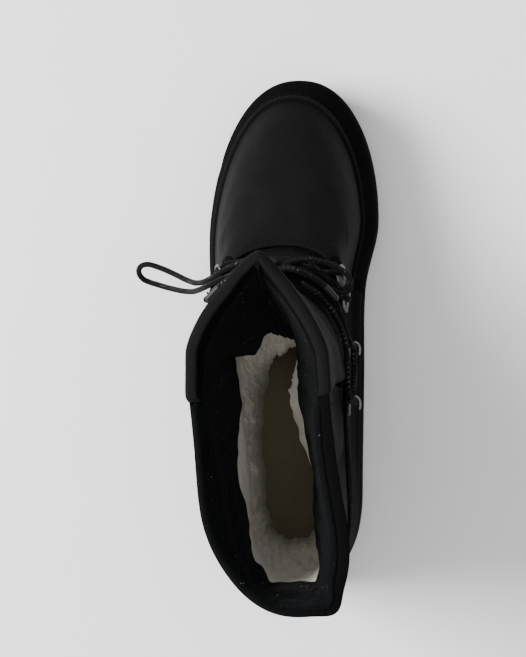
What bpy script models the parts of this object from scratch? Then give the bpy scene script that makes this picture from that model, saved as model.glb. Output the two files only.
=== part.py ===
"""Winter boot for the left foot, as separate pieces at their real size.

Metres, +Z up, toe along +Y, inner (medial) side of the foot along +X.
The origin is on the ground, in the middle of the sole's box.
The tables below are in millimetres, and MM turns them into metres.
"""
import math
from bisect import bisect_right
from collections import namedtuple
from functools import lru_cache

import bmesh
import bpy
from mathutils import Matrix, Vector

MM = 0.001
OBJECT_NAME = "winter_boot"

# Driving sizes
SOLE_BACK = -145.3      # rear end of the sole
SOLE_FRONT = 145.0      # toe end of the sole
SOLE_BACK_CAP = 52.0    # length over which the heel rounds off
SOLE_FRONT_CAP = 95.0   # length over which the toe rounds off
WALL = 3.4              # shell of the upper: cloth, padding and lining together
OVERLAY = 1.2           # thickness of an overlay panel
MUDGUARD = 1.5          # thickness of the mudguard, a heavier material
INSOLE = 5.0            # thickness of the insole
GAP = 0.3               # clearance between neighbouring pieces
SEAM = 0.012            # clearance at the front panels' edges, in levels or columns of the skin
REAR_SEAM = 0.004       # clearance at the quarter's front edges, in the longer rear columns
ROUND = 2.2             # power of a rounded end: 2 is a circle, 1 is a wedge

# Fineness of the meshes and of the measured directions
SHARP_EDGE = math.radians(40)   # edges that bend more than this are shaded sharp
CURVE_STEPS = 12        # steps between two points of a smooth path
OUTLINE_STEPS = 720     # steps round the sole when its outline is measured
AROUND_STEP = 0.005     # half step round the boot when a direction is measured
LEVEL_STEP = 0.03       # half step up the skin for the same
CORD_ROUNDNESS = 2      # steps in a quarter of a cord's or wire's section, beyond the corners
PLATE_SIDES = 10
KNOT_COLUMNS = 10
KNOT_ROWS = 6
WELD = 1e-6             # points closer than this, in metres, become one

# Width of the sole along the foot: a row for each station
Plan = namedtuple("Plan", "y half centre")
PLAN = [
    Plan(-145, 35.5, 4.0),      # back of the heel
    Plan(-105, 35.5, 4.0),      # heel
    Plan(-25, 41.0, -0.5),      # waist
    Plan(26, 44.7, -3.4),       # arch
    Plan(65, 49.0, 0.3),        # ball
    Plan(145, 49.0, 3.8),       # toe
]

# Height of the sole along the foot: its top, and the ground side of its lugs
Profile = namedtuple("Profile", "y top ground")
PROFILE = [
    Profile(-145, 37.0, 3.0),   # back of the heel, bevelled
    Profile(-120, 36.0, 0.0),   # heel flat begins
    Profile(-72, 34.5, 0.0),    # heel flat ends
    Profile(-30, 31.0, 3.5),    # arch
    Profile(8, 27.5, 0.0),      # forefoot flat begins
    Profile(60, 25.5, 0.0),     # ball
    Profile(92, 26.5, 0.0),     # forefoot flat ends
    Profile(120, 30.0, 3.5),    # toe spring
    Profile(145, 36.0, 11.0),   # toe
]

# Side of the sole: share of its height, and how far it stands out from the outline
Side = namedtuple("Side", "share out")
SIDE = [
    Side(0.00, -2.5), Side(0.10, -0.8), Side(0.22, 0.0), Side(0.30, 0.0),
    Side(0.33, -1.3), Side(0.43, -1.3),     # lower groove
    Side(0.46, 0.0), Side(0.60, 0.0),
    Side(0.63, -1.3), Side(0.73, -1.3),     # upper groove
    Side(0.76, -0.2), Side(0.94, -0.4), Side(1.00, -1.4),
]
SOLE_COLUMNS = 48

# Tread
LUG_DEPTH = 5.0         # height of the lugs under the sole's body
LUG_PITCH = 25.0        # spacing of the edge lugs along the outline
LUG_WIDTH = 16.5        # edge lug along the outline
LUG_REACH = 13.0        # edge lug from the outline inwards
LUG_PROUD = 0.8         # edge lug beyond the outline
LUG_RISE = 4.0          # edge lug up the side of the sole
LUG_TAPER = 0.88        # width of a lug's foot against its root
BAR_ROWS = (-112, -90, -68, 2, 24, 46, 68, 90)   # stations of the chevron bars
BAR_LENGTH = 0.46       # chevron bar, as a share of the sole's half width
BAR_OFFSET = 0.29       # middle of a bar from the centre line, as such a share
BAR_WIDTH = 8.0
BAR_ROOT = 1.5          # how far a bar's root runs into the body
BAR_TURN = math.radians(25)

# Rings of the upper's skin, from the feather edge up to the collar
Ring = namedtuple("Ring", "back_y front_y back_z front_z hug back_cap front_cap point "
                          "back_inset front_inset lean_back lean_mid lean_front edge")
RINGS = [
    Ring(-140.5, 140.5, .6, 1.0, 1.0, 48, 92, 2.2, 3.6, 3.6, 0, 0, 0, .2204),       # feather edge
    Ring(-142, 141.5, 21, 19, 0.8, 48, 90, 2.2, 2.4, 3.2, 0, 0, 0, .2204),          # bulge
    Ring(-142, 131, 44, 42, 0.5, 48, 80, 2.2, 2.0, 11, 0, -1.2, -2.5, .2122),       # mudguard top
    Ring(-141, 116, 61, 61.5, 0.3, 48, 72, 2.2, 2.4, 14, 0, -1.2, -2.5, .198),      # vamp low
    Ring(-140, 97, 76, 75.3, 0.15, 48, 66, 2.2, 3.0, 15, 0, -1.0, -2.0, .174),      # vamp middle
    Ring(-139, 72, 90, 88.5, 0, 48, 52, 2.2, 3.4, 14, 0, -0.8, -1.5, .137),         # vamp high
    Ring(-138, 46, 101, 99, 0, 48, 30, 2.2, 3.8, 12, 0, -1.0, -1.2, .066),          # throat base
    Ring(-137, 30, 118, 111, 0, 48, 38, 2.2, 3.8, 9, 0, -2, -3, .1476),             # instep
    Ring(-137.5, 23, 138, 129, 0, 47, 46, 2.0, 3.2, 8, .5, -4, -5, .2244),          # ankle
    Ring(-141, 30, 165, 157, 0, 50, 52, 1.7, 1.2, 8.6, 2, -8, -8, .224),            # shaft
    Ring(-145.5, 40, 191, 185, 0, 56, 50, 1.4, -3.0, 9.4, 4.5, -10.5, -9, .2215),   # collar
]

# Levels and columns of the skin's grid
# A column is 0 at the front, 1 at the medial edge of the throat, 2 at the back of the heel
# and 3, which is also -1, at the lateral edge of the throat
LEVELS = [0, .5, 1, 1.5, 2, 2.7, 3.4, 4.2, 5, 5.5, 6, 6.2, 6.4, 6.6, 6.8, 7,
          7.35, 7.7, 8.2, 8.7, 9.3, 10]
MUDGUARD_LEVEL = 2
VAMP_LEVEL = 6
QUARTER_LEVEL = 7.7
COLLAR_LEVEL = 10
FRONT_STEPS = 8         # columns from the middle of the toe to an edge of the throat
REAR_STEPS = 11         # columns from that edge to the back of the heel
FRONT_COLUMNS = [k / FRONT_STEPS for k in range(-FRONT_STEPS, FRONT_STEPS)]
REAR_COLUMNS = [1 + k / REAR_STEPS for k in range(2 * REAR_STEPS)]
COLUMNS = FRONT_COLUMNS + REAR_COLUMNS + [3]

# Folds of the soft collar: middle column, half width in columns, and height out of the skin
Fold = namedtuple("Fold", "column width rise")
FOLDS = [
    Fold(0.0, .16, 1.5),        # ridge at the peak of the collar
    Fold(.42, .30, -2.0),       # hollow on the medial side
    Fold(-.35, .22, -1.5),      # hollow on the lateral side
    Fold(-.78, .22, 1.2),       # wing that bulges on the lateral side
]
FOLD_LEVEL = 8.0        # folds fade out down to this level
FOLD_FADE = 0.12        # and over this many columns beside the throat's edges

# Tongue, from its tucked root to its padded rim: offsets of its two faces from the skin,
# and its clearance in columns to the long edges of the throat
TongueRow = namedtuple("TongueRow", "level outer inner seam")
TONGUE_ROOT = -WALL - 0.4       # outer face of the root, clear of the shell
TONGUE_THIN = 2.6               # thickness of the root
TONGUE = [
    TongueRow(5.5, TONGUE_ROOT, TONGUE_ROOT - TONGUE_THIN, .08),
    TongueRow(6, TONGUE_ROOT, TONGUE_ROOT - TONGUE_THIN, .08),
    TongueRow(6.4, 1.0, -4.0, .11),
    TongueRow(6.8, 1.5, -4.2, .11),
    TongueRow(7.35, 1.5, -4.3, .07),
    TongueRow(8.2, 1.5, -4.5, .02),
    TongueRow(9.6, 1.5, -6.0, .014),
    TongueRow(10, 0.6, -4.8, .014),
]

# Lace hardware on the quarter's front edge: level and column of each base plate
Hardware = namedtuple("Hardware", "kind level column")
HARDWARE = [
    Hardware("ring", 6.12, 1.07),
    Hardware("ring", 6.50, 1.06),
    Hardware("hook", 7.00, 1.06),
    Hardware("hook", 7.58, 1.06),
]
PLATE_RADIUS = 4.2
PLATE_THICKNESS = 1.2
PLATE_LIFT = 0.2        # extra clearance of a flat plate on the curved quarter
WIRE_RADIUS = 0.9
WIRE_STEP = 2.8         # spacing of the points along a bent wire
# Bent wires: distance towards the throat, along its edge, and out from the plate's middle
Bend = namedtuple("Bend", "inward along out")
WIRES = {
    "ring": [Bend(-1, -2.8, .1), Bend(2.5, -3.3, .9), Bend(5.6, -2.9, 1.7), Bend(7.2, 0, 2.1),
             Bend(5.6, 2.9, 1.7), Bend(2.5, 3.3, .9), Bend(-1, 2.8, .1)],
    "hook": [Bend(-1.5, 0, .1), Bend(2.5, 0, .6), Bend(5.2, 0, 1.6), Bend(6.4, 0, 3.6),
             Bend(5.0, 0, 5.6), Bend(2.2, 0, 6.2), Bend(-.8, 0, 5.6)],
}

# Lace: a round cord over the tongue
LACE_RADIUS = 1.6
LACE_STEP = 10.0        # spacing of the points along the cord
# Medial half of its route, from the knot down to the middle of the lowest bar
# Lift is the height over the skin on the way down, and lift_back on the mirrored way up
Lace = namedtuple("Lace", "level column lift lift_back")
LACE = [
    Lace(7.58, .20, 5.4, 5.4), Lace(7.70, .38, 5.0, 5.0), Lace(7.80, .62, 4.6, 4.6),
    Lace(7.78, .80, 4.4, 4.4),                                  # top hook
    Lace(7.62, .87, 4.4, 4.4), Lace(7.34, .86, 4.4, 4.4),
    Lace(7.12, .84, 4.4, 4.4),                                  # second hook
    Lace(7.04, .76, 4.4, 4.4), Lace(7.05, .58, 4.6, 4.8),
    Lace(7.02, .27, 4.8, 8.2), Lace(6.98, 0, 4.8, 8.2), Lace(6.90, -.27, 4.8, 8.2),
    Lace(6.80, -.60, 4.6, 4.8), Lace(6.62, -.80, 4.4, 4.4),
    Lace(6.50, -.86, 4.4, 4.4),                                 # upper ring, other side
    Lace(6.50, -.78, 4.4, 4.4), Lace(6.60, -.58, 4.8, 4.8),
    Lace(6.70, -.32, 8.2, 4.8), Lace(6.74, 0, 8.2, 4.8), Lace(6.70, .32, 8.2, 4.8),
    Lace(6.56, .60, 4.8, 4.8), Lace(6.36, .78, 4.4, 4.4),
    Lace(6.24, .84, 4.4, 4.4),                                  # lower ring, this side
    Lace(6.28, .68, 4.4, 4.4), Lace(6.44, .35, 4.6, 4.6),
    Lace(6.50, 0, 4.8, 4.8),                                    # lowest bar
]
KNOT_LEVEL = 7.50
KNOT_LIFT = 8.6
KNOT_HALF = Vector((6.0, 5.0, 5.0))
KNOT_CLEAR = 1.6        # from the knot to the middle of a cord's end face
# Free parts of the bow, as points in the boot's frame
# The first and the last row of a loop, and the first of an end, are directions from the knot
LOOP_LATERAL = [
    (-1, .35, -.4),
    (-20, 37.5, 119.5), (-30, 34.6, 117.5), (-38.5, 30.2, 112), (-44.5, 27.6, 101.5), (-48.5, 27, 89),
    (-53, 27.2, 77.5), (-58.2, 29, 68.5), (-64.5, 32, 61.5), (-71.5, 35.2, 57), (-78, 37.6, 54.2),
    (-82, 38.5, 53.2), (-85.4, 37.8, 51.5), (-87.4, 35.7, 49), (-87.2, 32.8, 46.4), (-85, 30.2, 44.7),
    (-81.5, 28.6, 44.2), (-77, 27.2, 46), (-71, 25.4, 51.2), (-65, 23.9, 58.2), (-59.5, 22.8, 67),
    (-54, 22.3, 79), (-49.5, 22.8, 93), (-46, 23.5, 105), (-39.5, 25.8, 115), (-30, 29.8, 121),
    (-19, 33.0, 124.5),
    (-1, .15, .25),
]
LOOP_MEDIAL = [
    (1, .45, -.3),
    (6, 38.0, 119), (13, 38.4, 117), (20.5, 36.8, 113.8), (27, 34, 111.4), (31.8, 30.8, 110.2),
    (33.9, 27.4, 110.4), (33.9, 23.7, 111.9), (32, 21.1, 114), (28.8, 20.2, 116.1), (25, 21.4, 117.8),
    (20.4, 24.2, 119.6), (13.5, 28.6, 122.2), (6, 32.2, 124.2),
    (1, .15, .25),
]
END_LATERAL = [
    (-.45, -.1, 1),
    (-18.5, 32.8, 130), (-27, 29.8, 128.3), (-35.5, 23.8, 126), (-43, 16.2, 122.5),
]
END_MEDIAL = [
    (.45, -.1, 1),
    (3.5, 32.8, 130), (12, 29.8, 128.3), (20.5, 23.8, 126), (27.5, 16.2, 123),
]

# Finishes: colour, roughness and metallic value of each piece
Finish = namedtuple("Finish", "colour roughness metallic")
RUBBER = Finish((.012, .012, .013), .75, 0)
NYLON = Finish((.014, .014, .016), .55, 0)
SHELL_NYLON = Finish((.016, .016, .018), .50, 0)
TONGUE_NYLON = Finish((.018, .018, .021), .45, 0)
SUEDE = Finish((.008, .008, .009), .95, 0)
QUARTER_NYLON = Finish((.010, .010, .011), .48, 0)
PLUSH = Finish((.62, .58, .46), .95, 0)
STEEL = Finish((.50, .50, .52), .30, 1)
CORD = Finish((.030, .028, .024), .70, 0)


# Curves and tables

def mix(a, b, share):
    return a + (b - a) * share


def smooth_through(xs, ys, x):
    """Value at x of a smooth curve through the points, which never overshoots them."""
    x = min(max(x, xs[0]), xs[-1])
    k = min(bisect_right(xs, x) - 1, len(xs) - 2)

    def secant(i):
        return (ys[i + 1] - ys[i]) / (xs[i + 1] - xs[i])

    def slope(i):
        if i == 0:
            return secant(0)
        if i == len(xs) - 1:
            return secant(i - 1)
        before, after = secant(i - 1), secant(i)
        if before * after <= 0:
            return 0.0
        return 2 * before * after / (before + after)

    width = xs[k + 1] - xs[k]
    t = (x - xs[k]) / width
    rise = (1 - t) * slope(k) - t * slope(k + 1) + (2 * t - 1) * secant(k)
    return mix(ys[k], ys[k + 1], t) + t * (1 - t) * width * rise


def table_reader(rows, key):
    """Function that reads every other column of a table at a value of its key column."""
    kind = type(rows[0])
    columns = {name: [getattr(row, name) for row in rows] for name in kind._fields}

    @lru_cache(maxsize=None)
    def read(x):
        values = {name: smooth_through(columns[key], columns[name], x) for name in kind._fields}
        return kind(**values)
    return read


plan_at = table_reader(PLAN, "y")
profile_at = table_reader(PROFILE, "y")
tongue_at = table_reader(TONGUE, "level")


@lru_cache(maxsize=None)
def ring_at(level):
    steps = list(range(len(RINGS)))
    return Ring(*[smooth_through(steps, column, level) for column in zip(*RINGS)])


def end_cap(distance, length, power):
    """Share of the full width at a distance from a rounded end."""
    rest = 1 - min(max(distance / length, 0), 1)
    return (1 - rest ** power) ** (1 / power)


def smooth_path(points, step):
    """Evenly spaced points on a smooth curve through the given points."""
    points = [Vector(p) for p in points]
    ends = [points[0] * 2 - points[1]] + points + [points[-1] * 2 - points[-2]]
    fine = [points[0]]
    for before, start, end, after in zip(ends, ends[1:], ends[2:], ends[3:]):
        for k in range(1, CURVE_STEPS + 1):
            t = k / CURVE_STEPS
            bend = (2 * before - 5 * start + 4 * end - after) * t * t
            twist = (3 * start - before - 3 * end + after) * t ** 3
            fine.append((2 * start + (end - before) * t + bend + twist) / 2)
    lengths = [0.0]
    for a, b in zip(fine, fine[1:]):
        lengths.append(lengths[-1] + (b - a).length)
    count = max(2, round(lengths[-1] / step))
    path = []
    for k in range(count + 1):
        at = lengths[-1] * k / count
        i = min(max(bisect_right(lengths, at) - 1, 0), len(fine) - 2)
        path.append(fine[i].lerp(fine[i + 1], (at - lengths[i]) / (lengths[i + 1] - lengths[i])))
    return path


# Skin of the upper

def skin(level, around):
    """Point of the skin: around is 0 at the toe, a quarter on the medial side, a half at the heel."""
    around = (around + .5) % 1 - .5
    ring = ring_at(level)
    front = (1 + math.cos(math.tau * around)) / 2
    y = mix(ring.back_y, ring.front_y, front)
    half = plan_at(y).half - mix(ring.back_inset, ring.front_inset, front)
    half *= end_cap(y - ring.back_y, ring.back_cap, ROUND)
    half *= end_cap(ring.front_y - y, ring.front_cap, ring.point)
    lean = (ring.lean_back * (1 - front) * (1 - 2 * front) + 4 * ring.lean_mid * front * (1 - front)
            + ring.lean_front * front * (2 * front - 1))
    x = plan_at(y).centre + lean + math.copysign(half, around)
    z = ring.hug * profile_at(y).top + mix(ring.back_z, ring.front_z, front)
    return Vector((x, y, z))


def around_at(level, column):
    edge = ring_at(level).edge
    column = (column + 1) % 4 - 1
    if column <= 1:
        return column * edge
    if column <= 2:
        return mix(edge, .5, column - 1)
    return mix(-.5, -edge, column - 2)


def skin_axes(level, column):
    """Directions round the boot, up the skin and out of it."""
    around = around_at(level, column)
    low, high = max(level - LEVEL_STEP, 0), min(level + LEVEL_STEP, COLLAR_LEVEL)
    up = skin(high, around) - skin(low, around)
    side = skin(level, around + AROUND_STEP) - skin(level, around - AROUND_STEP)
    out = up.cross(side).normalized()
    side.normalize()
    return side, side.cross(out).normalized(), out


def fold_rise(level, column):
    """Height of the collar's folds over the plain skin."""
    share = min(max((level - FOLD_LEVEL) / (COLLAR_LEVEL - FOLD_LEVEL), 0), 1)
    column = (column + 1) % 4 - 1
    rise = 0.0
    for fold in FOLDS:
        t = (column - fold.column) / fold.width
        rise += fold.rise * math.exp(-t * t)
    fade = min(max((1 - abs(column)) / FOLD_FADE, 0), 1)
    return rise * share * share * (3 - 2 * share) * fade


@lru_cache(maxsize=None)
def on_skin(level, column, out):
    """Point at a distance out from the folded skin."""
    normal = skin_axes(level, column)[2]
    return skin(level, around_at(level, column)) + normal * (out + fold_rise(level, column))


def bracket(stops, value):
    """The two stops around a value, and its share of the way between them."""
    k = min(max(bisect_right(stops, value) - 1, 0), len(stops) - 2)
    return stops[k], stops[k + 1], (value - stops[k]) / (stops[k + 1] - stops[k])


def on_grid(level, column, out):
    """Point at a distance out from the facets between the grid's levels and columns."""
    left, right, share = bracket(COLUMNS, (column + 1) % 4 - 1)
    low, high, rise = bracket(LEVELS, level)
    below = on_skin(low, left, out).lerp(on_skin(low, right, out), share)
    above = on_skin(high, left, out).lerp(on_skin(high, right, out), share)
    return below.lerp(above, rise)


# Meshes

def finish_object(name, mesh, finish, collection):
    material = bpy.data.materials.new(name)
    material.use_nodes = True
    shader = material.node_tree.nodes["Principled BSDF"]
    shader.inputs["Base Color"].default_value = (*finish.colour, 1)
    shader.inputs["Roughness"].default_value = finish.roughness
    shader.inputs["Metallic"].default_value = finish.metallic
    material.diffuse_color = (*finish.colour, 1)
    mesh.materials.clear()
    mesh.materials.append(material)
    piece = bpy.data.objects.new(name, mesh)
    collection.objects.link(piece)
    return piece


def mesh_from(name, points, faces):
    mesh = bpy.data.meshes.new(name)
    mesh.from_pydata([p * MM for p in points], [], faces)
    mesh.shade_smooth()
    mesh.set_sharp_from_angle(angle=SHARP_EDGE)
    return mesh


def thick_sheet(name, levels, columns, outer, inner, keep=None, closed=False, seam=None):
    """Closed wall between two offsets of the skin, over the kept cells of a grid."""
    rows, count = len(levels), len(columns)

    def trim(level, column):
        if seam is None:
            return column
        return min(max(column, seam(level) - 1), 1 - seam(level))

    points = [on_grid(v, trim(v, c), face(v)) for face in (outer, inner) for v in levels for c in columns]
    shift = rows * count
    outside = []
    for i in range(rows - 1):
        for j in range(count if closed else count - 1):
            nxt = (j + 1) % count
            if keep is None or keep(levels[i], columns[j]):
                outside.append((i * count + j, (i + 1) * count + j,
                                (i + 1) * count + nxt, i * count + nxt))
    edges = {(f[k], f[(k + 1) % 4]) for f in outside for k in range(4)}
    faces = list(outside)
    faces += [tuple(shift + f[k] for k in (0, 3, 2, 1)) for f in outside]
    faces += [(b, a, shift + a, shift + b) for a, b in sorted(edges) if (b, a) not in edges]
    used = sorted({v for f in faces for v in f})
    place = {v: k for k, v in enumerate(used)}
    return mesh_from(name, [points[v] for v in used], [tuple(place[v] for v in f) for f in faces])


def stacked_outline(name, rows):
    """Solid between stacked outlines that run clockwise from the toe, capped with a ladder."""
    count = len(rows[0])
    points = [p for row in rows for p in row]
    faces = []
    for i in range(len(rows) - 1):
        for j in range(count):
            nxt = (j + 1) % count
            faces.append((i * count + j, (i + 1) * count + j, (i + 1) * count + nxt, i * count + nxt))
    ladder = [(0, count - 1, 1), (count // 2 - 1, count // 2 + 1, count // 2)]
    ladder += [(k, count - k, count - k - 1, k + 1) for k in range(1, count // 2 - 1)]
    top = (len(rows) - 1) * count
    faces += [tuple(top + v for v in f) for f in ladder]
    faces += [tuple(reversed(f)) for f in ladder]
    return mesh_from(name, points, faces)


def tube_curve(name, points, radius):
    """Round cord or wire along the points, with closed ends."""
    curve = bpy.data.curves.new(name, "CURVE")
    curve.dimensions = "3D"
    curve.bevel_depth = radius * MM
    curve.bevel_resolution = CORD_ROUNDNESS
    curve.use_fill_caps = True
    spline = curve.splines.new("POLY")
    spline.points.add(len(points) - 1)
    for point, place in zip(spline.points, points):
        point.co = (*(place * MM), 1)
    return curve


def tube_mesh(name, points, radius):
    """The same tube as a closed mesh."""
    helper = bpy.data.objects.new(name, tube_curve(name, points, radius))
    bpy.context.scene.collection.objects.link(helper)
    seen = helper.evaluated_get(bpy.context.evaluated_depsgraph_get())
    mesh = bpy.data.meshes.new_from_object(seen)
    bpy.data.objects.remove(helper)
    shape = bmesh.new()
    shape.from_mesh(mesh)
    bmesh.ops.remove_doubles(shape, verts=shape.verts, dist=WELD)
    bmesh.ops.recalc_face_normals(shape, faces=shape.faces)
    shape.to_mesh(mesh)
    shape.free()
    return mesh


def join_cutter(piece, mesh, cutters):
    """Union of a piece with another mesh, which stays as a hidden guide."""
    guide = bpy.data.objects.new(piece.name + "_guide", mesh)
    guide.hide_render = True
    guide.display_type = "WIRE"
    cutters.objects.link(guide)
    union = piece.modifiers.new("join", "BOOLEAN")
    union.operation = "UNION"
    union.solver = "EXACT"
    union.object = guide


# Sole

def sole_line(around):
    around = (around + .5) % 1 - .5
    y = mix(SOLE_BACK, SOLE_FRONT, (1 + math.cos(math.tau * around)) / 2)
    half = plan_at(y).half * end_cap(y - SOLE_BACK, SOLE_BACK_CAP, ROUND)
    half *= end_cap(SOLE_FRONT - y, SOLE_FRONT_CAP, ROUND)
    return Vector((plan_at(y).centre + math.copysign(half, around), y))


def sole_edge(around, out):
    """Point at a distance out from the sole's outline, and the direction along it."""
    along = (sole_line(around + AROUND_STEP) - sole_line(around - AROUND_STEP)).normalized()
    return sole_line(around) + Vector((-along.y, along.x)) * out, along


def sole_body():
    rows = []
    for side in SIDE:
        row = []
        for k in range(SOLE_COLUMNS):
            x, y = sole_edge(k / SOLE_COLUMNS, side.out)[0]
            profile = profile_at(y)
            row.append(Vector((x, y, mix(profile.ground + LUG_DEPTH, profile.top, side.share))))
        rows.append(row)
    return stacked_outline("sole", rows)


def add_lug(shape, middle, along, width, reach, root):
    """Tapered block under the sole, from its foot on the ground line up to its root."""
    across = Vector((-along.y, along.x))
    for vert in bmesh.ops.create_cube(shape, size=1)["verts"]:
        taper = LUG_TAPER if vert.co.z < 0 else 1
        spot = middle + along * vert.co.x * width * taper + across * vert.co.y * reach * taper
        height = 0 if vert.co.z < 0 else LUG_DEPTH + root
        vert.co = Vector((spot.x, spot.y, profile_at(spot.y).ground + height)) * MM


def tread():
    """Edge lugs at an even pitch along the outline, and chevron bars down the middle."""
    shape = bmesh.new()
    line = [sole_line(k / OUTLINE_STEPS) for k in range(OUTLINE_STEPS + 1)]
    lengths = [0.0]
    for a, b in zip(line, line[1:]):
        lengths.append(lengths[-1] + (b - a).length)
    lugs = round(lengths[-1] / LUG_PITCH)
    for k in range(lugs):
        around = bisect_right(lengths, lengths[-1] * (k + .5) / lugs) / OUTLINE_STEPS
        middle, along = sole_edge(around, LUG_PROUD - LUG_REACH / 2)
        add_lug(shape, middle, along, LUG_WIDTH, LUG_REACH, LUG_RISE)
    for y in BAR_ROWS:
        plan = plan_at(y)
        for side in (-1, 1):
            middle = Vector((plan.centre + side * BAR_OFFSET * plan.half, y))
            along = Vector((math.cos(BAR_TURN), -side * math.sin(BAR_TURN)))
            add_lug(shape, middle, along, BAR_LENGTH * plan.half, BAR_WIDTH, BAR_ROOT)
    mesh = bpy.data.meshes.new("tread")
    shape.to_mesh(mesh)
    shape.free()
    return mesh


def make_sole(parts, cutters):
    piece = finish_object("sole", sole_body(), RUBBER, parts)
    join_cutter(piece, tread(), cutters)


# Upper and its panels

def front_panel(seam):
    return [seam - 1] + FRONT_COLUMNS[1:] + [1 - seam]


def rear_panel(seam):
    return [1 + seam] + REAR_COLUMNS[1:] + [3 - seam]


def levels_between(low, high):
    return [low] + [v for v in LEVELS if low + SEAM < v < high - SEAM] + [high]


def make_insole(parts):
    rows = []
    for height in (GAP, GAP + INSOLE):
        row = [on_skin(0, c, -WALL - 2 * GAP) for c in COLUMNS[FRONT_STEPS:-1] + COLUMNS[:FRONT_STEPS]]
        rows.append([Vector((p.x, p.y, profile_at(p.y).top + height)) for p in row])
    finish_object("insole", stacked_outline("insole", rows), PLUSH, parts)


def make_upper(parts):
    """Hollow shell, open underneath, at the collar and down the throat."""
    def keep(level, column):
        return level < VAMP_LEVEL or 1 <= column < 3
    mesh = thick_sheet("upper", LEVELS, COLUMNS[:-1], lambda v: 0.0, lambda v: -WALL, keep, True)
    finish_object("upper", mesh, SHELL_NYLON, parts)


def make_tongue(parts):
    levels = [TONGUE[0].level] + [v for v in LEVELS if v > TONGUE[0].level]
    mesh = thick_sheet("tongue", levels, FRONT_COLUMNS + [1], lambda v: tongue_at(v).outer,
                       lambda v: tongue_at(v).inner, seam=lambda v: tongue_at(v).seam)
    finish_object("tongue", mesh, TONGUE_NYLON, parts)


def make_panel(parts, name, levels, columns, thickness, finish):
    """Overlay panel, a clearance away from the shell that carries it."""
    mesh = thick_sheet(name, levels, columns, lambda v: GAP + thickness, lambda v: GAP)
    finish_object(name, mesh, finish, parts)


def make_panels(parts):
    front = front_panel(SEAM)
    rear = rear_panel(REAR_SEAM)
    low = levels_between(0, MUDGUARD_LEVEL - SEAM)
    middle = levels_between(MUDGUARD_LEVEL + SEAM, VAMP_LEVEL - SEAM)
    make_panel(parts, "mudguard", low, front, MUDGUARD, SUEDE)
    make_panel(parts, "vamp", middle, front, OVERLAY, NYLON)
    make_panel(parts, "quarter", levels_between(0, QUARTER_LEVEL), rear, OVERLAY, QUARTER_NYLON)


# Lace hardware and lace

def make_hardware(parts, cutters):
    """Round base plate with a bent wire, at each place and on both sides."""
    for number, item in enumerate(HARDWARE, 1):
        for name, mirror in (("medial", 1), ("lateral", -1)):
            column = item.column * mirror % 4
            side, up, out = skin_axes(item.level, column)
            inward = side * -mirror
            centre = on_skin(item.level, column, 2 * GAP + PLATE_LIFT + OVERLAY + PLATE_THICKNESS / 2)
            shape = bmesh.new()
            bmesh.ops.create_cone(shape, cap_ends=True, segments=PLATE_SIDES,
                                  radius1=PLATE_RADIUS * MM, radius2=PLATE_RADIUS * MM,
                                  depth=PLATE_THICKNESS * MM)
            turn = Matrix((side, up, out)).transposed().to_4x4()
            bmesh.ops.transform(shape, matrix=Matrix.Translation(centre * MM) @ turn, verts=shape.verts)
            bmesh.ops.recalc_face_normals(shape, faces=shape.faces)
            plate = bpy.data.meshes.new(item.kind)
            shape.to_mesh(plate)
            shape.free()
            bends = [centre + inward * b.inward + up * b.along + out * b.out for b in WIRES[item.kind]]
            piece = finish_object(f"lace_{item.kind}_{name}_{number}", plate, STEEL, parts)
            join_cutter(piece, tube_mesh("wire", smooth_path(bends, WIRE_STEP), WIRE_RADIUS), cutters)


def make_cord(parts, name, points):
    finish_object(name, tube_curve(name, smooth_path(points, LACE_STEP), LACE_RADIUS), CORD, parts)


def knot_middle():
    return on_skin(KNOT_LEVEL, 0, KNOT_LIFT)


def off_knot(direction):
    """Point just clear of the knot, in a direction from its middle."""
    direction = Vector(direction).normalized()
    reach = 1 / Vector([d / half for d, half in zip(direction, KNOT_HALF)]).length
    return knot_middle() + direction * (reach + KNOT_CLEAR)


def make_knot(parts):
    shape = bmesh.new()
    bmesh.ops.create_uvsphere(shape, u_segments=KNOT_COLUMNS, v_segments=KNOT_ROWS, radius=1)
    for vert in shape.verts:
        vert.co = (knot_middle() + vert.co * KNOT_HALF) * MM
    mesh = bpy.data.meshes.new("lace_knot")
    shape.to_mesh(mesh)
    shape.free()
    mesh.shade_smooth()
    finish_object("lace_knot", mesh, CORD, parts)


def make_lace(parts):
    """One cord from the knot round all the hooks and rings and back, with its bow."""
    down = [on_skin(row.level, row.column, row.lift) for row in LACE]
    back = [on_skin(row.level, -row.column, row.lift_back) for row in reversed(LACE[:-1])]
    make_cord(parts, "lace_bars", down + back)
    make_knot(parts)
    for name, loop in (("lateral", LOOP_LATERAL), ("medial", LOOP_MEDIAL)):
        make_cord(parts, f"lace_loop_{name}", [off_knot(loop[0])] + loop[1:-1] + [off_knot(loop[-1])])
    for name, end in (("lateral", END_LATERAL), ("medial", END_MEDIAL)):
        make_cord(parts, f"lace_end_{name}", [off_knot(end[0])] + end[1:])


def main():
    for old in list(bpy.data.objects):
        bpy.data.objects.remove(old)
    parts = bpy.data.collections.new(OBJECT_NAME)
    cutters = bpy.data.collections.new("guides")
    bpy.context.scene.collection.children.link(parts)
    bpy.context.scene.collection.children.link(cutters)
    make_sole(parts, cutters)
    make_insole(parts)
    make_upper(parts)
    make_tongue(parts)
    make_panels(parts)
    make_hardware(parts, cutters)
    make_lace(parts)


main()
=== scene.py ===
# %% [markdown]
# # A winter boot
# This lesson dresses the left boot of a pair.
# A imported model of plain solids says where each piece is, and stays in place as the frame.
# Each soft solid is replaced here by cloth, pile, thread or cord that sits in the same space.

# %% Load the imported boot
import math

import bmesh
import bpy
import numpy as np
from mathutils import Matrix, Vector
from mathutils.bvhtree import BVHTree


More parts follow.
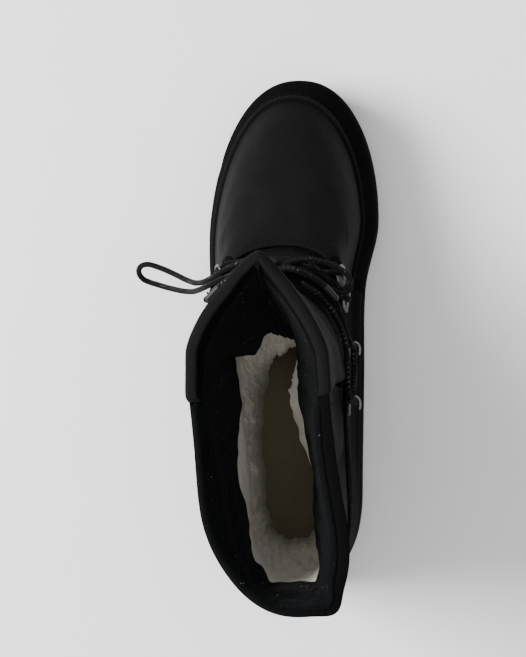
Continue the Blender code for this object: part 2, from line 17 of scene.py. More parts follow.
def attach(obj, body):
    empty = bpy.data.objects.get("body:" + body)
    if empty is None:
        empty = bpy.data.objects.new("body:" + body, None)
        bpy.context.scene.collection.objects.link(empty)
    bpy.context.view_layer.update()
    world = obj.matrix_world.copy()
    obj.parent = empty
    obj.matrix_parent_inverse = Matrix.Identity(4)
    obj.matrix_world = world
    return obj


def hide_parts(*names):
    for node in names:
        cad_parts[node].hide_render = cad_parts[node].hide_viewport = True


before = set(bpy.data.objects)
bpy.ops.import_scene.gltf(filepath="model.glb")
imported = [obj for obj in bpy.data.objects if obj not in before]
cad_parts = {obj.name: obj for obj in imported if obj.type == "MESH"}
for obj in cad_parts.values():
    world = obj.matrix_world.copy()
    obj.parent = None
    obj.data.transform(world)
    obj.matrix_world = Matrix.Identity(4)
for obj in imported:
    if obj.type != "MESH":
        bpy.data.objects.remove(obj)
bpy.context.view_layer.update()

MM = .001

# %% [markdown]
# ## Camera and light
# The boot is seen from straight above by a long lens, a little to its inner side.
# The camera stands at that place over the floor, and only turns to bring the one boot to the middle.
# A strong soft lamp on the outer side models the black cloth, and one overhead reaches the lining.
# A weak lamp behind the heel and an even pale room fill the shadows.

# %% Camera
EYE = Vector((52.5, -11.45, 1300)) * MM
AIM = Vector((-16, 2, 60)) * MM
LENS = 121.0


def add(name, data):
    made = bpy.data.objects.new(name, data)
    bpy.context.scene.collection.objects.link(made)
    return made


camera = add("camera", bpy.data.cameras.new("camera"))
ahead = (AIM - EYE).normalized()
right = ahead.cross(Vector((0, 1, 0))).normalized()
turn = Matrix((right, right.cross(ahead), -ahead)).transposed()
camera.matrix_world = Matrix.Translation(EYE) @ turn.to_4x4()
camera.data.lens = LENS
camera.data.clip_end = 20
bpy.context.scene.camera = camera
print("camera looks down", round(math.degrees(math.asin(-ahead.z)), 1), "degrees")

# %% Light and floor
LAMPS = {
    "lamp_outer": ((-1.5, .3, 1.5), 1.1, 112),
    "lamp_above": ((.15, -.1, 2.2), 2.2, 36),
    "lamp_heel": ((.2, -1.7, 1.2), 1.4, 5),
}
for name, (place, size, power) in LAMPS.items():
    lamp = add(name, bpy.data.lights.new(name, "AREA"))
    lamp.data.size = size
    lamp.data.energy = power
    lamp.location = place
    lamp.rotation_euler = (-Vector(place)).to_track_quat("-Z", "Y").to_euler()

room = bpy.data.worlds.new("room")
room.use_nodes = True
room.node_tree.nodes["Background"].inputs["Color"].default_value = (.92, .94, .97, 1)
room.node_tree.nodes["Background"].inputs["Strength"].default_value = .30
bpy.context.scene.world = room

FLOOR_HALF = 4.0
shape = bmesh.new()
bmesh.ops.create_grid(shape, x_segments=1, y_segments=1, size=FLOOR_HALF)
floor_mesh = bpy.data.meshes.new("floor")
shape.to_mesh(floor_mesh)
shape.free()
floor = add("floor", floor_mesh)

# %% [markdown]
# ## Shader sums
# A finish is a Principled shader with a few textures.
# Writing node links by hand is long, so one small class wraps a socket and lets Python add and multiply it.
# A second class makes the material, and has one method for every other kind of node.

# %% Sockets as numbers
class Amount:
    """A shader value that takes part in Python sums."""

    def __init__(self, finish, socket):
        self.finish = finish
        self.socket = socket

    def maths(self, operation, *values):
        return self.finish.node("Math", {"operation": operation}, dict(enumerate(values)))

    def __add__(self, other):
        return self.maths("ADD", self, other)

    def __radd__(self, other):
        return self.maths("ADD", other, self)

    def __sub__(self, other):
        return self.maths("SUBTRACT", self, other)

    def __rsub__(self, other):
        return self.maths("SUBTRACT", other, self)

    def __mul__(self, other):
        return self.maths("MULTIPLY", self, other)

    def __rmul__(self, other):
        return self.maths("MULTIPLY", other, self)

    def sine(self):
        return self.maths("SINE", self)

    def above(self, low, high):
        """0 below low, 1 over high and a soft step between."""
        return self.finish.node("MapRange", {"interpolation_type": "SMOOTHSTEP"},
                                {"Value": self, "From Min": low, "From Max": high})


class Finish:
    """A material, with the numbers that are the same all over it set on its shader."""

    def __init__(self, name, **constants):
        self.material = bpy.data.materials.new(name)
        self.material.use_nodes = True
        self.tree = self.material.node_tree
        self.shader = self.tree.nodes["Principled BSDF"]
        self.vary(**constants)

    def feed(self, socket, value):
        if isinstance(value, Amount):
            self.tree.links.new(value.socket, socket)
        else:
            socket.default_value = value

    def node(self, kind, settings, sockets, output=0):
        node = self.tree.nodes.new("ShaderNode" + kind)
        for key, value in settings.items():
            setattr(node, key, value)
        for key, value in sockets.items():
            self.feed(node.inputs[key], value)
        return Amount(self, node.outputs[output])

    def vary(self, **sockets):
        for socket, value in sockets.items():
            self.feed(self.shader.inputs[socket.replace("_", " ")], value)

    def place(self):
        """Where a point of the boot is, in metres."""
        return self.node("TexCoord", {}, {}, "Object")

    def cloth(self, axis):
        """How far along the cloth a point is, in metres."""
        flat = self.node("UVMap", {"uv_map": "cloth"}, {})
        return self.node("SeparateXYZ", {}, {"Vector": flat}, axis)

    def noise(self, size, detail):
        """Soft noise from 0 to 1, with lumps of a size in millimetres."""
        sockets = {"Vector": self.place(), "Scale": 1 / (size * MM), "Detail": detail}
        return self.node("TexNoise", {}, sockets)

    def blend(self, share, first, second):
        """Colour between two colours."""
        return self.node("Mix", {"data_type": "RGBA"}, {"Factor": share, 6: first, 7: second}, 2)

    def coat(self, share, first, second, roughness):
        """Sets the colour, between two colours, and the roughness."""
        self.vary(Base_Color=self.blend(share, first, second), Roughness=roughness)

    def bump(self, height, depth):
        """Relief of a depth in millimetres."""
        self.vary(Normal=self.node("Bump", {}, {"Height": height, "Distance": depth * MM, "Strength": 1.0}))


def shade(value, warmth=0):
    """A near grey colour."""
    return (value * (1 + warmth), value, value * (1 - warmth), 1)


# %% [markdown]
# ## Cloth finishes
# The vamp is a fine plain weave with a faint shine, the shaft and tongue are a dull twill.
# The quarter is a plain weave with a smoother, duller face. All of them read lengths along the cloth,
# so that the threads keep their size where a panel narrows.

# %% Woven cloths
def woven(name, dark, light, roughness, thread, twill, relief, shine):
    """Black cloth: twill is 0 for a plain weave, or 1 for diagonal ribs."""
    finish = Finish(name, Specular_IOR_Level=shine)
    turns = math.tau / (thread * MM)
    across = finish.cloth("X") * turns
    along = finish.cloth("Y") * turns
    plain = across.sine() * along.sine()
    ribs = (across + along).sine()
    threads = (plain * (1 - twill) + ribs * twill) * .5 + .5
    cloud = finish.noise(28, 3)
    fuzz = finish.noise(1.2, 2)
    face = finish.blend(threads * .5 + fuzz * .5, dark, light)
    finish.coat(cloud.above(.3, .75) * .35, face, dark, roughness - .06 + cloud * .12 + threads * .05)
    finish.bump(threads * .7 + fuzz * .5, relief)
    return finish


VAMP = woven("vamp_weave", shade(.0009, -.04), shade(.0056, -.04), .62, .75, 0, .12, .07)
QUARTER = woven("quarter_cloth", shade(.0016), shade(.0042), .60, .65, 0, .06, .01)
SHAFT = woven("shaft_twill", shade(.0014), shade(.0040), .60, .95, 1, .12, .02)
TONGUE = woven("tongue_twill", shade(.0028), shade(.0080), .58, .95, 1, .12, .035)

# %% [markdown]
# ## Suede, pile and rubber
# Suede and pile have no threads. Their look is a mix of noises: fine fibres, larger strokes and clumps.
# The fleece has light specks of lint on it. Rubber has a fine moulded grain and pale dust in places.

# %% Soft and moulded finishes
SUEDE = Finish("mudguard_nap", Specular_IOR_Level=.015)
nap = SUEDE.noise(.5, 3)
strokes = SUEDE.noise(9, 3)
SUEDE.coat(nap * .6 + strokes * .4, shade(.0013), shade(.0045), .85 + strokes * .12)
SUEDE.bump(nap + strokes * .5, .18)

RIBBED = Finish("piping_rib", Specular_IOR_Level=.06)
ribs = (RIBBED.cloth("Y") * (math.tau / (1.3 * MM)) + RIBBED.cloth("X") * (.5 / MM)).sine() * .5 + .5
RIBBED.coat(ribs, shade(.002), shade(.008), .75 + ribs * .1)
RIBBED.bump(ribs, .35)

FLEECE = Finish("lining_fleece", Sheen_Weight=.016, Sheen_Roughness=.5, Specular_IOR_Level=.015)
curls = FLEECE.noise(1.6, 4)
clumps = FLEECE.noise(7, 3)
lint = FLEECE.node("TexVoronoi", {}, {"Vector": FLEECE.place(), "Scale": 1 / (2.6 * MM)})
speck = (.17 - lint).above(0, .06) * FLEECE.noise(9, 1).above(.55, .68)
dark = FLEECE.blend(curls, shade(.0013, -.1), shade(.0050, -.12))
FLEECE.coat(speck * .5, dark, shade(.22), .9 + curls * .1)
FLEECE.bump(curls + clumps, 1.0)

PLUSH = Finish("lining_pile", Sheen_Weight=.3, Sheen_Roughness=.6, Sheen_Tint=(1, .97, .9, 1),
               Specular_IOR_Level=.1)
tufts = PLUSH.noise(2.2, 4)
waves = PLUSH.noise(11, 2)
height = PLUSH.node("SeparateXYZ", {}, {"Vector": PLUSH.place()}, "Z")
upper_pile_colour = PLUSH.blend(tufts * .6 + waves * .4, (.43, .39, .30, 1), (.70, .67, .585, 1))
# The pile is a dark brown low down, towards the insole, and cream higher up.
off_the_floor = (height + tufts * .02).above(.045, .080)
PLUSH.coat(off_the_floor, (.13, .115, .070, 1), upper_pile_colour, .9 + tufts * .1)
PLUSH.bump(tufts + waves * .8, 1.6)

FELT = Finish("insole_felt", Sheen_Weight=.2, Sheen_Roughness=.6, Specular_IOR_Level=.1)
fibres = FELT.noise(1.1, 4)
worn = FELT.noise(22, 2)
FELT.coat(fibres * .5 + worn * .5, (.070, .061, .033, 1), (.118, .105, .066, 1),
          .9 + fibres * .1)
FELT.bump(fibres, .5)

RUBBER = Finish("sole_grain", Specular_IOR_Level=.05)
grain = RUBBER.noise(.7, 2)
dust = RUBBER.noise(16, 4)
RUBBER.coat(dust.above(.45, .8) * .5, shade(.0040), shade(.014, .06),
            .62 + grain * .1 + dust * .15)
RUBBER.bump(grain, .12)

# %% [markdown]
# ## Metal, lace and thread
# The rings and hooks are bent from dull grey wire with fine drawing marks.
# The lace is a round braid of black and pale yarns. Its pattern follows the cord's own length and turn.

# %% Hard and twisted finishes
STEEL = Finish("wire_steel", Metallic=1.0)
marks = STEEL.noise(1.5, 4)
STEEL.coat(marks, (.06, .06, .065, 1), (.20, .20, .21, 1), .2 + marks * .2)
STEEL.bump(marks, .04)

RIVET = Finish("rivet_black", Specular_IOR_Level=.25)
pits = RIVET.noise(.9, 3)
RIVET.coat(pits, shade(.006), shade(.016), .35 + pits * .2)
RIVET.bump(pits, .05)

BRAID = Finish("lace_braid", Specular_IOR_Level=.07)
length = BRAID.cloth("Y") * (math.tau / (2.6 * MM))
around = BRAID.cloth("X") * (1.0 / MM)
one_way = (length + around * 1.25).sine()
other_way = (length - around * 1.25).sine()
over = (one_way * other_way) * .5 + .5
groups = BRAID.noise(8, 1).above(.46, .60) * BRAID.noise(1.3, 2).above(.40, .62)
pale = one_way.above(.45, .90) * other_way.above(-.3, .5) * groups
black = BRAID.blend(over, shade(.0022), shade(.007, .05))
BRAID.coat(pale, black, (.115, .108, .092, 1), .68 + over * .12)
BRAID.bump(over, .30)

THREAD = Finish("seam_thread", Specular_IOR_Level=.05)
twist = THREAD.noise(.5, 2)
THREAD.coat(twist, shade(.002), shade(.006), .55 + twist * .2)

FLOOR = Finish("floor_paper", Specular_IOR_Level=.2)
tooth = FLOOR.noise(40, 3)
FLOOR.coat(tooth, shade(.85), shade(.88), .85 + tooth * .1)
floor.data.materials.append(FLOOR.material)
print("finishes", len(bpy.data.materials))

# %% [markdown]
# ## The boot's skin
# The upper is one smooth skin between rings, from the feather edge at the sole up to the collar.
# A level counts the rings, and a column says where round the boot a point is:
# 0 at the front, 1 at the inner edge of the throat, 2 at the heel and 3 (or -1) at the throat's outer edge.
# These tables are the ones that the solids were made from, so that the cloth lies on them.

# %% Tables, in millimetres
ROUND = 2.2
WALL = 3.4
PLAN = [  # station, half width, centre line
    (-145, 35.5, 4), (-105, 35.5, 4), (-25, 41, -.5),
    (26, 44.7, -3.4), (65, 49, .3), (145, 49, 3.8),
]
PROFILE = [  # station, top of the sole, ground side of its lugs
    (-145, 37, 3), (-120, 36, 0), (-72, 34.5, 0), (-30, 31, 3.5), (8, 27.5, 0),
    (60, 25.5, 0), (92, 26.5, 0), (120, 30, 3.5), (145, 36, 11),
]
RING_WORDS = ("back_y front_y back_z front_z hug back_cap front_cap point "
              "back_inset front_inset lean_back lean_mid lean_front edge").split()
RINGS = [
    (-140.5, 140.5, .6, 1, 1, 48, 92, 2.2, 3.6, 3.6, 0, 0, 0, .2204),
    (-142, 141.5, 21, 19, .8, 48, 90, 2.2, 2.4, 3.2, 0, 0, 0, .2204),
    (-142, 131, 44, 42, .5, 48, 80, 2.2, 2, 11, 0, -1.2, -2.5, .2122),
    (-141, 116, 61, 61.5, .3, 48, 72, 2.2, 2.4, 14, 0, -1.2, -2.5, .198),
    (-140, 97, 76, 75.3, .15, 48, 66, 2.2, 3, 15, 0, -1, -2, .174),
    (-139, 72, 90, 88.5, 0, 48, 52, 2.2, 3.4, 14, 0, -.8, -1.5, .137),
    (-138, 46, 101, 99, 0, 48, 30, 2.2, 3.8, 12, 0, -1, -1.2, .066),
    (-137, 30, 118, 111, 0, 48, 38, 2.2, 3.8, 9, 0, -2, -3, .1476),
    (-137.5, 23, 138, 129, 0, 47, 46, 2, 3.2, 8, .5, -4, -5, .2244),
    (-141, 30, 165, 157, 0, 50, 52, 1.7, 1.2, 8.6, 2, -8, -8, .224),
    (-145.5, 40, 191, 185, 0, 56, 50, 1.4, -3, 9.4, 4.5, -10.5, -9, .2215),
]
TOP = len(RINGS) - 1
FOLDS = [(0, .16, 1.5), (.42, .30, -2), (-.35, .22, -1.5), (-.78, .22, 1.2)]  # column, width, rise
FOLD_LEVEL = 8.0
FOLD_FADE = .12
LEVEL_STEP = .03
AROUND_STEP = .005


# %% Points on the skin
def through(xs, ys):
    """Smooth curve through a table's points, as a function of a number or an array."""
    xs, ys = np.array(xs, float), np.array(ys, float)
    secant = np.diff(ys) / np.diff(xs)
    slope = np.concatenate([secant[:1], np.zeros(len(xs) - 2), secant[-1:]])
    product, total = secant[:-1] * secant[1:], secant[:-1] + secant[1:]
    slope[1:-1] = np.where(product > 0, 2 * product / np.where(product > 0, total, 1), 0)

    def read(x):
        x = np.clip(x, xs[0], xs[-1])
        k = np.clip(np.searchsorted(xs, x, "right") - 1, 0, len(xs) - 2)
        width = xs[k + 1] - xs[k]
        t = (x - xs[k]) / width
        rise = (1 - t) * slope[k] - t * slope[k + 1] + (2 * t - 1) * secant[k]
        return ys[k] + (ys[k + 1] - ys[k]) * t + t * (1 - t) * width * rise
    return read


def columns_of(rows):
    columns = list(zip(*rows))
    return [through(columns[0], column) for column in columns[1:]]


half_width, centre_line = columns_of(PLAN)
sole_top, sole_ground = columns_of(PROFILE)
RING = {word: through(range(len(RINGS)), column) for word, column in zip(RING_WORDS, zip(*RINGS))}


def mix(a, b, share):
    return a + (b - a) * share


def smooth(low, high, x):
    t = np.clip((x - low) / (high - low), 0, 1)
    return t * t * (3 - 2 * t)


def end_cap(distance, length, power):
    rest = 1 - np.clip(distance / length, 0, 1)
    return (1 - rest ** power) ** (1 / power)


def skin(level, around):
    around = (around + .5) % 1 - .5
    ring = {word: curve(level) for word, curve in RING.items()}
    front = (1 + np.cos(math.tau * around)) / 2
    y = mix(ring["back_y"], ring["front_y"], front)
    half = half_width(y) - mix(ring["back_inset"], ring["front_inset"], front)
    half = half * end_cap(y - ring["back_y"], ring["back_cap"], ROUND)
    half = half * end_cap(ring["front_y"] - y, ring["front_cap"], ring["point"])
    lean = (ring["lean_back"] * (1 - front) * (1 - 2 * front) + 4 * ring["lean_mid"] * front * (1 - front)
            + ring["lean_front"] * front * (2 * front - 1))
    x = centre_line(y) + lean + np.copysign(half, around)
    z = ring["hug"] * sole_top(y) + mix(ring["back_z"], ring["front_z"], front)
    return np.stack([x, y, z], -1)


def from_front(column):
    """The same place round the boot, counted from -1 to 3."""
    return (column + 1) % 4 - 1


def around_at(level, column):
    edge = RING["edge"](level)
    column = from_front(column)
    rear = np.where(column <= 2, mix(edge, .5, column - 1), mix(-.5, -edge, column - 2))
    return np.where(column <= 1, column * edge, rear)


def unit(vectors):
    return vectors / np.linalg.norm(vectors, axis=-1, keepdims=True)


def axes(level, column):
    """Directions round the boot, up the skin and out of it."""
    around = around_at(level, column)
    up = skin(np.minimum(level + LEVEL_STEP, TOP), around) - skin(np.maximum(level - LEVEL_STEP, 0), around)
    side = skin(level, around + AROUND_STEP) - skin(level, around - AROUND_STEP)
    out = unit(np.cross(up, side))
    side = unit(side)
    return side, np.cross(side, out), out


def humps(column, rows):
    """Sum of soft humps, each with its column, width and height."""
    return sum(high * np.exp(-((column - middle) / width) ** 2) for middle, width, high in rows)


def fold_rise(level, column):
    column = from_front(column)
    fade = np.clip((1 - np.abs(column)) / FOLD_FADE, 0, 1)
    return humps(column, FOLDS) * smooth(FOLD_LEVEL, TOP, level) * fade


def on_skin(level, column, out=0, up=0):
    """Points at a distance out from the folded skin and up along it."""
    level, column, out, up = np.broadcast_arrays(*[np.asarray(v, float) for v in (level, column, out, up)])
    _, rise, normal = axes(level, column)
    out = out + fold_rise(level, column)
    return skin(level, around_at(level, column)) + normal * out[..., None] + rise * up[..., None]


print("toe", on_skin(1, 0).round(1), "collar front", on_skin(TOP, 0).round(1))

# %% [markdown]
# ## From a grid to a sheet
# Nearly every soft piece here is a sheet, so one helper starts from a flat grid and moves its points.
# It also stores how long the cloth is each way, which the weaves read.
# A tube is the same sheet rolled round a path. Round ends close it.

# %% Sheets, tubes and pieces
WELD = 1e-6
ASLANT = (.31, .25, .92)  # a direction that no cord starts along
CURVE_POINTS = 40  # between two given points of a path


def row_at(rows, t):
    """The row that belongs to each share of the way along a sheet."""
    return rows[np.rint(t * (len(rows) - 1)).astype(int)]


def run_length(points):
    """Length up to each point of a line, or of each line of a grid."""
    steps = np.linalg.norm(np.diff(points, axis=0), axis=-1)
    return np.concatenate([np.zeros_like(steps[:1]), np.cumsum(steps, axis=0)])


def sheet(place, across, along, closed=False, turned=True):
    """Grid whose points are placed by a function of two shares, in millimetres."""
    shape = bmesh.new()
    lengths = shape.loops.layers.uv.new("cloth")
    bmesh.ops.create_grid(shape, x_segments=across, y_segments=along, size=.5)
    flat = np.array([v.co for v in shape.verts]) + .5
    points = place(flat[:, 0], flat[:, 1])
    grid = points.reshape(along + 1, across + 1, 3)
    run = run_length(grid.swapaxes(0, 1)).T
    run = run - run[:, [across // 2]]
    cloth = np.stack([run.ravel(), run_length(grid).ravel()], 1) * MM
    shape.verts.index_update()
    for vert, point in zip(shape.verts, points):
        vert.co = Vector(point) * MM
    for face in shape.faces:
        for loop in face.loops:
            loop[lengths].uv = cloth[loop.vert.index]
    if turned:
        bmesh.ops.reverse_faces(shape, faces=shape.faces)
    if closed:
        bmesh.ops.remove_doubles(shape, verts=shape.verts, dist=WELD)
    return shape


def tube(path, radius, sides):
    """Round cord along a path, with round ends."""
    path = np.array(path)
    ahead = unit(np.gradient(path, axis=0))
    length = run_length(path)
    to_end = np.minimum(length, length[-1] - length)
    thick = radius * np.sqrt(1 - (1 - np.clip(to_end / radius, 0, 1)) ** 2)
    across = np.cross(ahead[0], ASLANT)
    sideways = []
    for direction in ahead:
        across = across - direction * across.dot(direction)
        across = across / np.linalg.norm(across)
        sideways.append(across)
    sideways = np.array(sideways)
    upwards = np.cross(ahead, sideways)
    rows = len(path) - 1

    def place(s, t):
        k = np.rint(t * rows).astype(int)
        angle = (s * math.tau)[:, None]
        spoke = np.cos(angle) * sideways[k] + np.sin(angle) * upwards[k]
        return path[k] + spoke * thick[k][:, None]
    return sheet(place, sides, rows, closed=True, turned=False)


def smooth_path(points, step):
    """Evenly spaced points on a smooth curve through the given points."""
    points = np.array(points, float)
    ends = np.vstack([points[0] * 2 - points[1], points, points[-1] * 2 - points[-2]])
    t = np.linspace(0, 1, CURVE_POINTS, endpoint=False)[:, None]
    fine = []
    for before, start, end, after in zip(ends, ends[1:], ends[2:], ends[3:]):
        bend = (2 * before - 5 * start + 4 * end - after) * t ** 2
        twist = (3 * start - before - 3 * end + after) * t ** 3
        fine.append((2 * start + (end - before) * t + bend + twist) / 2)
    fine = np.vstack(fine + [points[-1:]])
    length = run_length(fine)
    even = np.linspace(0, length[-1], max(2, round(length[-1] / step)) + 1)
    return np.stack([np.interp(even, length, fine[:, k]) for k in range(3)], 1)


def join(shape, other):
    """Adds one bmesh to another."""
    mesh = bpy.data.meshes.new("joined")
    other.to_mesh(mesh)
    other.free()
    shape.from_mesh(mesh)
    bpy.data.meshes.remove(mesh)


def round_edges(shape, radius):
    bmesh.ops.bevel(shape, geom=shape.edges[:], offset=radius * MM, affect="EDGES", segments=2, profile=0.5,
                    material=-1)


def piece(name, shape, finish, slot, *nodes):
    """Finished piece that rides on the boot and stands for some of its solids."""
    mesh = bpy.data.meshes.new(name)
    shape.to_mesh(mesh)
    shape.free()
    mesh.shade_smooth()
    mesh.materials.append(finish.material)
    made = add(name, mesh)
    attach(made, "root")
    if nodes:
        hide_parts(*nodes)
    print(name, len(mesh.polygons), "faces")
    return made


def thicken(made, depth):
    """Gives a sheet a thickness behind its face."""
    wall = made.modifiers.new("thickness", "SOLIDIFY")
    wall.thickness = depth * MM
    wall.offset = -1


# %% [markdown]
# ## Rings and hooks
# Two rings and two open hooks on each side carry the lace, each bent from wire and held by a round plate.
# The plate is a short cone with a bevelled edge, and the wire is a tube through its bends.
# A small function gives the place of each fitting, because the lace is threaded through the same places.

# %% Lace fittings
GAP = .3
HARDWARE = [("ring", 6.12, 1.07), ("ring", 6.50, 1.06), ("hook", 7.00, 1.06), ("hook", 7.58, 1.06)]
PLATE_RADIUS, PLATE_THICKNESS = 3.6, 1.2
PLATE_HEIGHT = 2.6  # of its middle, over the skin
PLATE_ROUND, PLATE_SIDES = .35, 28
WIRE_RADIUS, WIRE_STEP, WIRE_SIDES = .75, .5, 12
WIRES = {  # towards the throat, along its edge, and out from the plate's middle
    "ring": [(-1, -2.8, .1), (2.5, -3.3, 1.2), (5.6, -2.9, 3.0), (7.2, 0, 3.9),
             (5.6, 2.9, 3), (2.5, 3.3, 1.2), (-1, 2.8, .1)],
    "hook": [(-1.5, 0, .1), (2.5, 0, .6), (5.2, 0, 1.6), (6.4, 0, 3.6),
             (5, 0, 5.6), (2.2, 0, 6.2), (-.8, 0, 5.6)],
}


def fitting(number, hand):
    """Middle of a plate, and its directions towards the throat, along its edge and out."""
    _, level, column = HARDWARE[number - 1]
    side, up, out = axes(np.array(level), np.array(column * hand % 4))
    return on_skin(level, column * hand % 4, PLATE_HEIGHT), np.stack([-hand * side, up, out])


for number, (kind, *_) in enumerate(HARDWARE, 1):
    for word, hand in (("medial", 1), ("lateral", -1)):
        middle, directions = fitting(number, hand)
        plate = bmesh.new()
        bmesh.ops.create_cone(plate, cap_ends=True, segments=PLATE_SIDES, radius1=PLATE_RADIUS * MM,
                              radius2=PLATE_RADIUS * MM, depth=PLATE_THICKNESS * MM)
        round_edges(plate, PLATE_ROUND)
        turn = Matrix(directions * [[hand], [1], [1]]).transposed().to_4x4()
        bmesh.ops.transform(plate, matrix=Matrix.Translation(Vector(middle) * MM) @ turn, verts=plate.verts)
        bmesh.ops.recalc_face_normals(plate, faces=plate.faces)
        name = f"lace_{kind}_{word}_{number}"
        piece(name + "_plate", plate, RIVET, "hardware_steel")
        bends = smooth_path(middle + np.array(WIRES[kind]) @ directions, WIRE_STEP)
        piece(name + "_wire", tube(bends, WIRE_RADIUS, WIRE_SIDES), STEEL, "hardware_steel", name)

# %% [markdown]
# ## The lace
# One round cord runs from the knot through hooks and rings to the lowest bar and back up the other side.
# It could be a curve with a bevel, but a tube of its own carries the braid along its length.
# In a hook it lies in the bend. It goes over a ring's side, down through it and out under its tip.
# The bow's loops and ends are free cords, and the length of each is worked out and printed.

# %% Lace through the hooks and rings
LACE_RADIUS = 1.6
LACE_SIDES = 14
LACE_STEP = .9
HOOK_PASS = [(7, 8, 1.2), (4.6, 2.8, 3.0), (3.9, 0, 3.4), (3.4, -3.4, 3.0)]
RING_PASS = [(6, 7.5, 1.6), (3.6, 3.4, 4.2), (3.6, .2, 3.0), (6.6, -.2, 1.0), (9.5, 2.5, 1.2)]
# A row has a level, a column and its heights over the skin on the way down and on the mirrored way up.
# In a fitting it has the fitting's number, its side and a place in the fitting's own directions.
LACE = [
    (7.58, .20, 5.4, 5.4), (7.70, .40, 5, 5), (7.80, .64, 4.6, 4.6),
    *[(4, 1, *row) for row in HOOK_PASS],
    (4, 1, 9, -5, 2.4), (3, 1, -9, -5, 2.4), *[(3, 1, *row) for row in reversed(HOOK_PASS)],
    (7.05, .58, 4.6, 4.8), (7.02, .30, 4.8, 8.2), (6.98, 0, 4.8, 8.2), (6.90, -.30, 4.8, 8.2),
    (6.80, -.58, 4.6, 4.8), *[(2, -1, *row) for row in RING_PASS],
    (6.60, -.60, 4.8, 4.6), (6.70, -.32, 8.2, 4.8), (6.74, 0, 8.2, 4.8), (6.70, .32, 8.2, 4.8),
    (6.58, .56, 4.8, 4.6), *[(1, 1, *row) for row in RING_PASS],
    (6.34, .58, 4.4, 4.4), (6.46, .30, 4.6, 4.6), (6.50, 0, 4.8, 4.8),
]


def lace(path, width=1):
    return tube(path, LACE_RADIUS * width, LACE_SIDES)


def lace_point(row, hand):
    """Place of a row of the route, on the medial side or mirrored."""
    if len(row) == 4:
        level, column, down, back = row
        return on_skin(level, column * hand, down if hand > 0 else back)
    number, side, *local = row
    middle, directions = fitting(number, side * hand)
    return middle + np.array(local) @ directions


route = [lace_point(row, 1) for row in LACE] + [lace_point(row, -1) for row in reversed(LACE[:-1])]
piece("lace_laced", lace(smooth_path(route, LACE_STEP)), BRAID, "lace_cord", "lace_bars")

# %% The bow
KNOT = on_skin(7.50, 0, 8.6)
KNOT_HALF = np.array((6.0, 5.0, 5.0))
KNOT_CLEAR = 1.6
STUB = 5  # points at the start of a cord that guide it into the knot
TIP_POINTS, TIP_STEP, TIP_WIDTH = 14, .8, 1.06  # the width is a share of the cord's
BOW = {  # the first row, and the last of a loop, are directions from the knot
    "lace_loop_lateral": [
        (-1, .35, -.4), (-20, 37.5, 119.5), (-30, 34.6, 117.5), (-38.5, 30.2, 112), (-44.5, 27.6, 101.5),
        (-48.5, 27, 89), (-53, 27.2, 77.5), (-58.2, 29, 68.5), (-64.5, 32, 61.5), (-71.5, 35.2, 57),
        (-78, 37.6, 54.2), (-82, 38.5, 53.2), (-85.4, 37.8, 51.5), (-87.4, 35.7, 49), (-87.2, 32.8, 46.4),
        (-85, 30.2, 44.7), (-81.5, 28.6, 44.2), (-77, 27.2, 46), (-71, 25.4, 51.2), (-65, 23.9, 58.2),
        (-59.5, 22.8, 67), (-54, 22.3, 79), (-49.5, 22.8, 93), (-46, 23.5, 105), (-39.5, 25.8, 115),
        (-30, 29.8, 121), (-19, 33, 124.5), (-1, .15, .25)],
    "lace_loop_medial": [
        (1, .45, -.3), (6, 38, 119), (13, 38.4, 117), (20.5, 36.8, 113.8), (27, 34, 111.4),
        (31.8, 30.8, 110.2), (33.9, 27.4, 110.4), (33.9, 23.7, 111.9), (32, 21.1, 114), (28.8, 20.2, 116.1),
        (25, 21.4, 117.8), (20.4, 24.2, 119.6), (13.5, 28.6, 122.2), (6, 32.2, 124.2), (1, .15, .25)],
    "lace_end_lateral": [
        (-.45, -.1, 1), (-18.5, 32.8, 130), (-27, 29.8, 128.3), (-35.5, 23.8, 126), (-43, 16.2, 122.5)],
    "lace_end_medial": [
        (.45, -.1, 1), (3.5, 32.8, 130), (12, 29.8, 128.3), (20.5, 23.8, 126), (27.5, 16.2, 123)],
}


def off_knot(direction):
    direction = unit(np.array(direction, float))
    return KNOT + direction * (1 / np.linalg.norm(direction / KNOT_HALF) + KNOT_CLEAR)


into_knot = []
for name, rows in BOW.items():
    loop = "loop" in name
    points = [off_knot(rows[0]), *rows[1:-1], off_knot(rows[-1]) if loop else rows[-1]]
    path = smooth_path(points, LACE_STEP)
    length = float(np.linalg.norm(np.diff(path, axis=0), axis=1).sum()) * MM
    into_knot += [path[:STUB], path[:-STUB - 1:-1]] if loop else [path[:STUB]]
    cord = piece(name + "_cord", lace(path), BRAID, "lace_cord", name)
    with_pieces = []
    if not loop:
        tip = lace(smooth_path(path[-TIP_POINTS:], TIP_STEP), TIP_WIDTH)
        with_pieces = [piece(name + "_tip", tip, RIVET, "lace_cord")]
    print(name, "length", round(length, 4))

# %% The knot
KNOT_ACROSS = ((-5.4, 1, 0), (-2.4, -.5, .5), (1.8, .4, .3), (5.4, .8, 0))


def knot_turn(tilt, size, phase):
    """Closed turn of cord round the knot's middle."""
    angle = np.linspace(0, math.tau, 40) + phase
    ring = np.stack([np.cos(angle) * size[0], np.sin(angle) * size[1], np.sin(angle * 2) * .5], 1)
    return KNOT + ring @ np.array(Matrix.Rotation(tilt, 3, "Y") @ Matrix.Rotation(tilt * .4, 3, "X")).T


knot = lace(knot_turn(math.radians(86), (3.6, 3.9), 0))
join(knot, lace(knot_turn(math.radians(64), (3.4, 3.6), 2)))
for rise in (-1.3, 1.5):
    across = [KNOT + (x, y, rise + z) for x, y, z in KNOT_ACROSS]
    join(knot, lace(smooth_path(across, LACE_STEP)))
for start in into_knot:
    points = [mix(KNOT, start[0], .3), mix(KNOT, start[0], .7), start[0], start[-1]]
    join(knot, lace(smooth_path(points, LACE_STEP), .94))
piece("lace_knotted", knot, BRAID, "lace_cord", "lace_knot")

